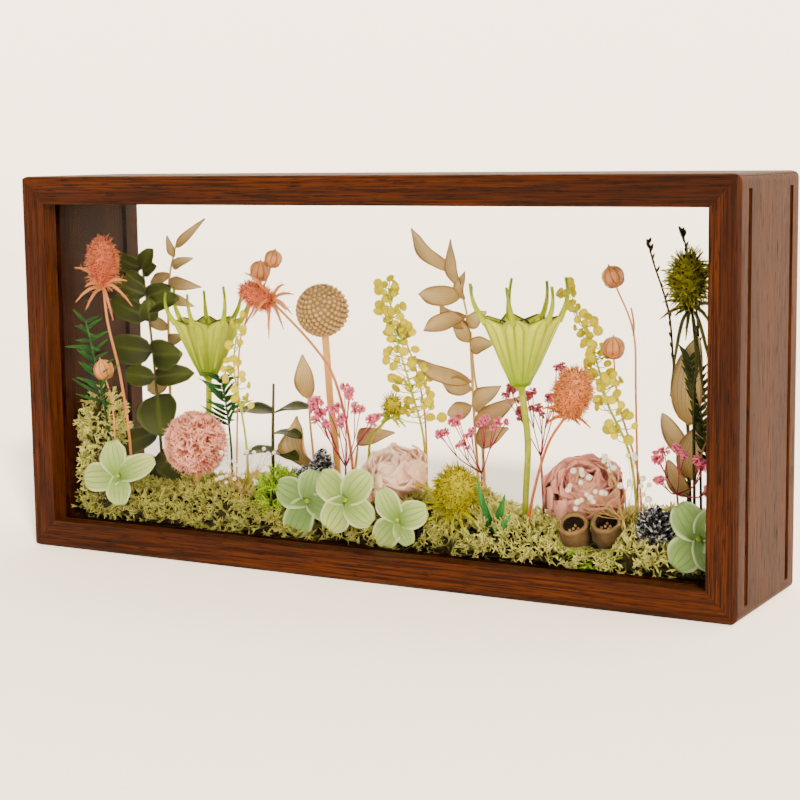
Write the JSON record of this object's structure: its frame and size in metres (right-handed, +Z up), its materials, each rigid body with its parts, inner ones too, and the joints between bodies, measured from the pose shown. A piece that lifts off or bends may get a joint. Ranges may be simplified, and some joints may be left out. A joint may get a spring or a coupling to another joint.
{
  "type": "pressed flower frame",
  "caption": "Walnut shadow box with clear acrylic panes front and back, filled with preserved flowers, seed pods and leaves standing in pale green reindeer moss.",
  "frame": {"origin": "middle of the underside of the bottom board, halfway along the width and halfway between the front and back faces", "axes": "+X along the width, towards the right board as seen from the front; +Y from the front pane towards the back pane; +Z up, from the bottom board to the top board"},
  "size_m": [0.3, 0.063, 0.15],
  "materials": {
    "walnut": "oiled, satin, straight grain",
    "clear_acrylic": "polished clear acrylic sheet",
    "pink_thistle": "dyed dried flower head, matte",
    "yellow_thistle": "dyed dried flower head, matte",
    "orange_thistle": "dyed dried flower head, matte",
    "olive_thistle": "dyed dried flower head, matte",
    "tan_pod": "dry seed pod, slight sheen",
    "olive_leaf": "preserved leaf, satin",
    "bleached_leaf": "bleached dry leaf, matte",
    "lime_pod": "dyed dry pod, matte",
    "green_needle": "preserved leaf, satin",
    "green_blade": "preserved leaf, satin",
    "coral_ruffle": "dried flower head, matte",
    "tan_ball_pod": "dry pod, matte",
    "yellow_seed_disc": "dyed seed discs, matte",
    "pink_bud": "dyed dried buds, matte",
    "mauve_bud": "dyed dried buds, matte",
    "white_bud": "dried buds, matte",
    "cream_petal": "preserved petal, matte",
    "mauve_petal": "preserved petal, matte",
    "mint_petal": "preserved petal, matte",
    "silver_cone": "painted silver flecks on dark scales",
    "brown_cup": "dry woody seed cup, matte",
    "dark_twig": "dry twig, matte",
    "moss_bright": "dyed reindeer moss, matte",
    "moss_pale": "dyed reindeer moss, matte"
  },
  "bodies": {
    "root": {"board_bottom": "walnut", "board_top": "walnut", "board_left": "walnut", "board_right": "walnut", "pane_front": "clear_acrylic", "pane_back": "clear_acrylic", "eryngium_pink_left": "pink_thistle", "eryngium_pink_middle": "pink_thistle", "eryngium_yellow_small": "yellow_thistle", "eryngium_yellow_large": "yellow_thistle", "eryngium_orange": "orange_thistle", "eryngium_olive": "olive_thistle", "flax_left": "tan_pod", "flax_pair": "tan_pod", "flax_middle": "tan_pod", "flax_right_tall": "tan_pod", "flax_right_low": "tan_pod", "eucalyptus_left": "olive_leaf", "eucalyptus_right": "olive_leaf", "ruscus_left": "bleached_leaf", "ruscus_middle": "bleached_leaf", "ruscus_right": "bleached_leaf", "ruscus_far_right": "bleached_leaf", "nigella_left": "lime_pod", "nigella_right": "lime_pod", "needles_left": "green_needle", "needles_middle": "green_needle", "needles_right": "green_needle", "blades_low": "green_blade", "pompon": "coral_ruffle", "ball_pod": "tan_ball_pod", "disc_sprig_left": "yellow_seed_disc", "disc_sprig_middle": "yellow_seed_disc", "disc_sprig_right": "yellow_seed_disc", "breath_pink_left": "pink_bud", "breath_pink_middle": "pink_bud", "breath_mauve": "mauve_bud", "breath_pink_right": "pink_bud", "breath_white_left": "white_bud", "breath_white_right": "white_bud", "rose_cream": "cream_petal", "rose_mauve": "mauve_petal", "hydrangea_left": "mint_petal", "hydrangea_middle_a": "mint_petal", "hydrangea_middle_b": "mint_petal", "hydrangea_middle_c": "mint_petal", "hydrangea_right": "mint_petal", "cone_left": "silver_cone", "cone_right": "silver_cone", "gumnut_left": "brown_cup", "gumnut_right": "brown_cup", "twig_left": "dark_twig", "twig_right": "dark_twig", "moss_green_left": "moss_bright", "moss_green_right": "moss_bright", "moss_upright": "moss_pale", "moss_left": "moss_pale", "moss_middle": "moss_pale", "moss_right": "moss_pale"}
  },
  "joints": []
}
